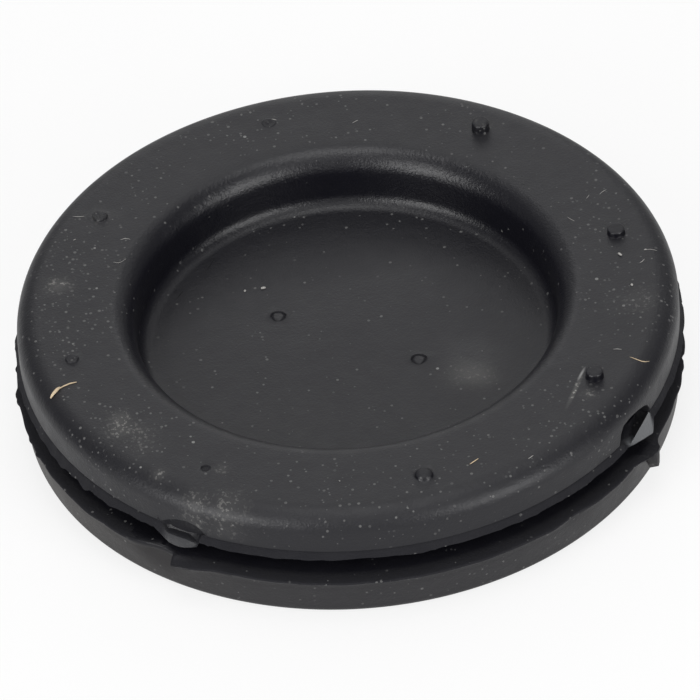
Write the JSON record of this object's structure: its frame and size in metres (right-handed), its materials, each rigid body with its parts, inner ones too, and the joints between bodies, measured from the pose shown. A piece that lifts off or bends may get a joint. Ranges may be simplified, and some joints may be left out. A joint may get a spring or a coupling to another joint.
{
  "type": "rubber body plug",
  "caption": "Round moulded rubber plug with a dished top and a groove between two flanges, which closes a hole in a sheet-metal panel.",
  "frame": {"origin": "on the plug's axis, at the foot face that it rests on", "axes": "+Z along the plug's axis, up through the dished top; +X through a vent pip of the top flange, with the two torn tongues of flash on the -Y side, half way between the axes"},
  "size_m": [0.0378, 0.0378, 0.0076],
  "materials": {
    "rubber": "matte"
  },
  "bodies": {
    "root": {"plug_body": "rubber"}
  },
  "joints": []
}
